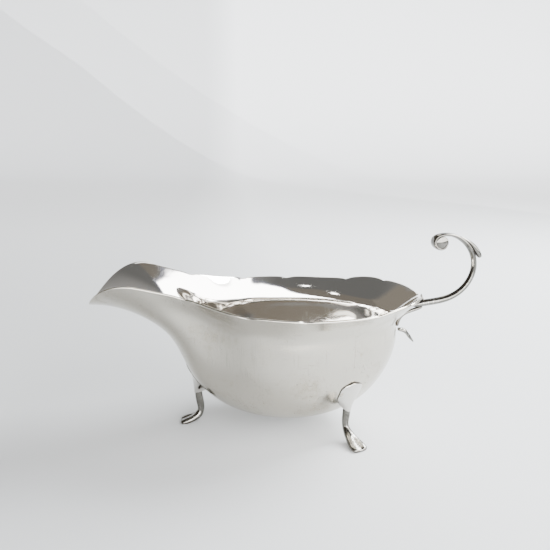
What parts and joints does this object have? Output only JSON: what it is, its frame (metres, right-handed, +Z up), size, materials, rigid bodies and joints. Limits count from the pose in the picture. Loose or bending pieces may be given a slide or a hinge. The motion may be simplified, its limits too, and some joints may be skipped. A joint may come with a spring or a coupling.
{
  "type": "sauce boat",
  "caption": "Sauce boat: a raised silver bowl with a drooping pouring lip, a flying scroll handle and short cabriole legs with hoof feet.",
  "frame": {"origin": "on the table, under the middle of the bounding box", "axes": "+Z up, +X towards the handle, the lip points along -X, +Y is the boat's left side as seen from the handle"},
  "size_m": [0.1655, 0.0738, 0.0826],
  "materials": {
    "bowl_sheet": "polished silver, softly worn, with fine scratches",
    "cast_handle": "polished cast silver with dark tarnish in its grooves",
    "cast_leg": "cast silver, polished on its high parts and tarnished round its joints"
  },
  "bodies": {
    "root": {"bowl": "bowl_sheet", "handle_scroll": "cast_handle", "thumb_leaf": "cast_handle", "rim_leaf": "cast_handle", "bracket_scroll": "cast_handle", "bracket_sprig": "cast_handle", "knee_front": "cast_leg", "knee_rear_left": "cast_leg", "knee_rear_right": "cast_leg", "leg_front": "cast_leg", "leg_rear_left": "cast_leg", "leg_rear_right": "cast_leg"}
  },
  "joints": []
}
